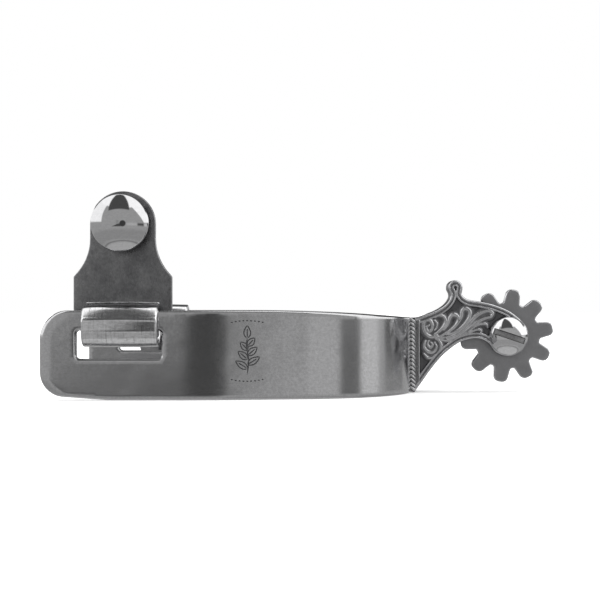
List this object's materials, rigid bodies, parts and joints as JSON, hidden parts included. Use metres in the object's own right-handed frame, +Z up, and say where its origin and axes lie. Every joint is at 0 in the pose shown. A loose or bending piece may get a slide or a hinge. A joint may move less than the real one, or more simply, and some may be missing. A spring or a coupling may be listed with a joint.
{
  "type": "western riding spur",
  "caption": "Western riding spur: U-shaped steel heel band with slotted arms, swinging button hangers, forked shank with chap guard, and a toothed rowel that spins.",
  "frame": {"origin": "middle of the heel band's thickness at the back of the heel, on its bottom edge, centre plane", "axes": "+X rearward along the shank towards the rowel, +Z up, -Y is the near arm"},
  "size_m": [0.1518, 0.126, 0.0595],
  "materials": {
    "band_steel": "polished stainless with fine wear",
    "shank_casting": "cast stainless, darkened in the recesses",
    "rope_wire": "bright wire, dark between the strands",
    "rowel_steel": "satin, tumbled",
    "pin_steel": "polished",
    "hanger_steel": "polished sheet, dulled in use",
    "button_steel": "polished",
    "stud_steel": "turned"
  },
  "bodies": {
    "frame": {"heel_band": "band_steel", "shank": "shank_casting", "rope_trim_near": "rope_wire", "rope_trim_far": "rope_wire", "rowel_pin_barrel": "pin_steel", "rowel_pin_screw": "pin_steel"},
    "rowel": {"rowel": "rowel_steel"},
    "hanger_near": {"hanger_plate_near": "hanger_steel", "button_cap_near": "button_steel", "button_stud_near": "stud_steel", "stud_washer_near": "stud_steel"},
    "hanger_far": {"hanger_plate_far": "hanger_steel", "button_cap_far": "button_steel", "button_stud_far": "stud_steel", "stud_washer_far": "stud_steel"}
  },
  "joints": [
    {"name": "rowel_spin", "type": "hinge", "parent": "frame", "child": "rowel", "pos_m": [0.0313, 0, 0.01745], "axis": [0, 1, 0], "continuous": true},
    {"name": "hanger_near_swing", "type": "hinge", "parent": "frame", "child": "hanger_near", "pos_m": [-0.083, -0.04104, 0.02255], "axis": [1, 0, 0], "range_deg": [-98, 158]},
    {"name": "hanger_far_swing", "type": "hinge", "parent": "frame", "child": "hanger_far", "pos_m": [-0.083, 0.04104, 0.02255], "axis": [-1, 0, 0], "range_deg": [-217, 39]}
  ]
}
